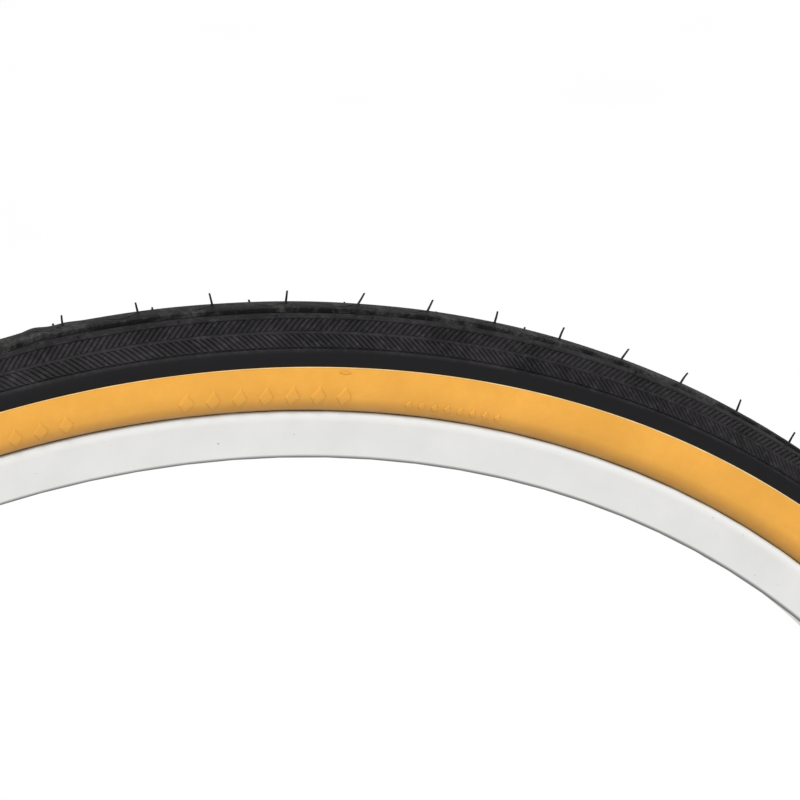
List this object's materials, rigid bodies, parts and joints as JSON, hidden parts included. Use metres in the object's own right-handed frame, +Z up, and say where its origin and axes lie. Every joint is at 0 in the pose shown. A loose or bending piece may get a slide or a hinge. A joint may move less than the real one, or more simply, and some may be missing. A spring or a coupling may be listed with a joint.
{
  "type": "bicycle tire on rim",
  "caption": "Gumwall bicycle tire with a black ribbed tread, blown up on its rim with an inner tube and a capped valve.",
  "frame": {"origin": "centre of the wheel", "axes": "+Y along the wheel's axle line, +Z up, with the valve at the foot of the wheel"},
  "size_m": [0.6668, 0.034, 0.6668],
  "materials": {
    "tread_rubber": "matt black tread rubber",
    "gum_rubber": "amber gum rubber",
    "casing_cord": "rubbered cord",
    "bead_steel": "drawn steel wire",
    "inner_rubber": "black butyl rubber",
    "rim_metal": "pale satin aluminium",
    "eyelet_steel": "plated steel",
    "valve_brass": "bare brass",
    "cap_plastic": "black plastic"
  },
  "bodies": {
    "wheel": {"tread": "tread_rubber", "vent_hairs_crown": "tread_rubber", "vent_hairs_shoulder": "tread_rubber", "breaker_strip": "casing_cord", "casing_ply_outer": "casing_cord", "casing_ply_inner": "casing_cord", "gum_sidewall_left": "gum_rubber", "gum_sidewall_right": "gum_rubber", "bead_wires_left": "bead_steel", "bead_wires_right": "bead_steel", "bead_filler_left": "inner_rubber", "bead_filler_right": "inner_rubber", "chafer_left": "gum_rubber", "chafer_right": "gum_rubber", "inner_tube": "inner_rubber", "rim_strip": "inner_rubber", "rim": "rim_metal", "rim_joint_sleeve": "rim_metal", "spoke_eyelets": "eyelet_steel", "valve_stem_cover": "inner_rubber", "valve_stem_tube": "valve_brass", "valve_core_body": "valve_brass", "valve_core_spring": "bead_steel"},
    "core_pin": {"valve_core_pin": "valve_brass", "valve_core_seal": "inner_rubber"},
    "cap_gasket": {"valve_cap_gasket": "inner_rubber"},
    "cap": {"valve_cap": "cap_plastic"}
  },
  "joints": [
    {"name": "cap_lift", "type": "slide", "parent": "wheel", "child": "cap_gasket", "axis": [0, 0, 1], "range_m": [0, 0.00794]},
    {"name": "cap_turn", "type": "hinge", "parent": "cap_gasket", "child": "cap", "pos_m": [0, 0, -0.2546], "axis": [0, 0, 1], "range_deg": [0, 3600]},
    {"name": "core_pin_press", "type": "slide", "parent": "wheel", "child": "core_pin", "axis": [0, 0, -1], "range_m": [0, 0.0012], "stiffness_N_per_m": 1500, "springref_m": -0.001, "deforming": ["valve_core_spring"]}
  ],
  "couplings": [
    {"joint": "cap_turn", "follows": "cap_lift", "rad_per_m": 7915.8}
  ]
}
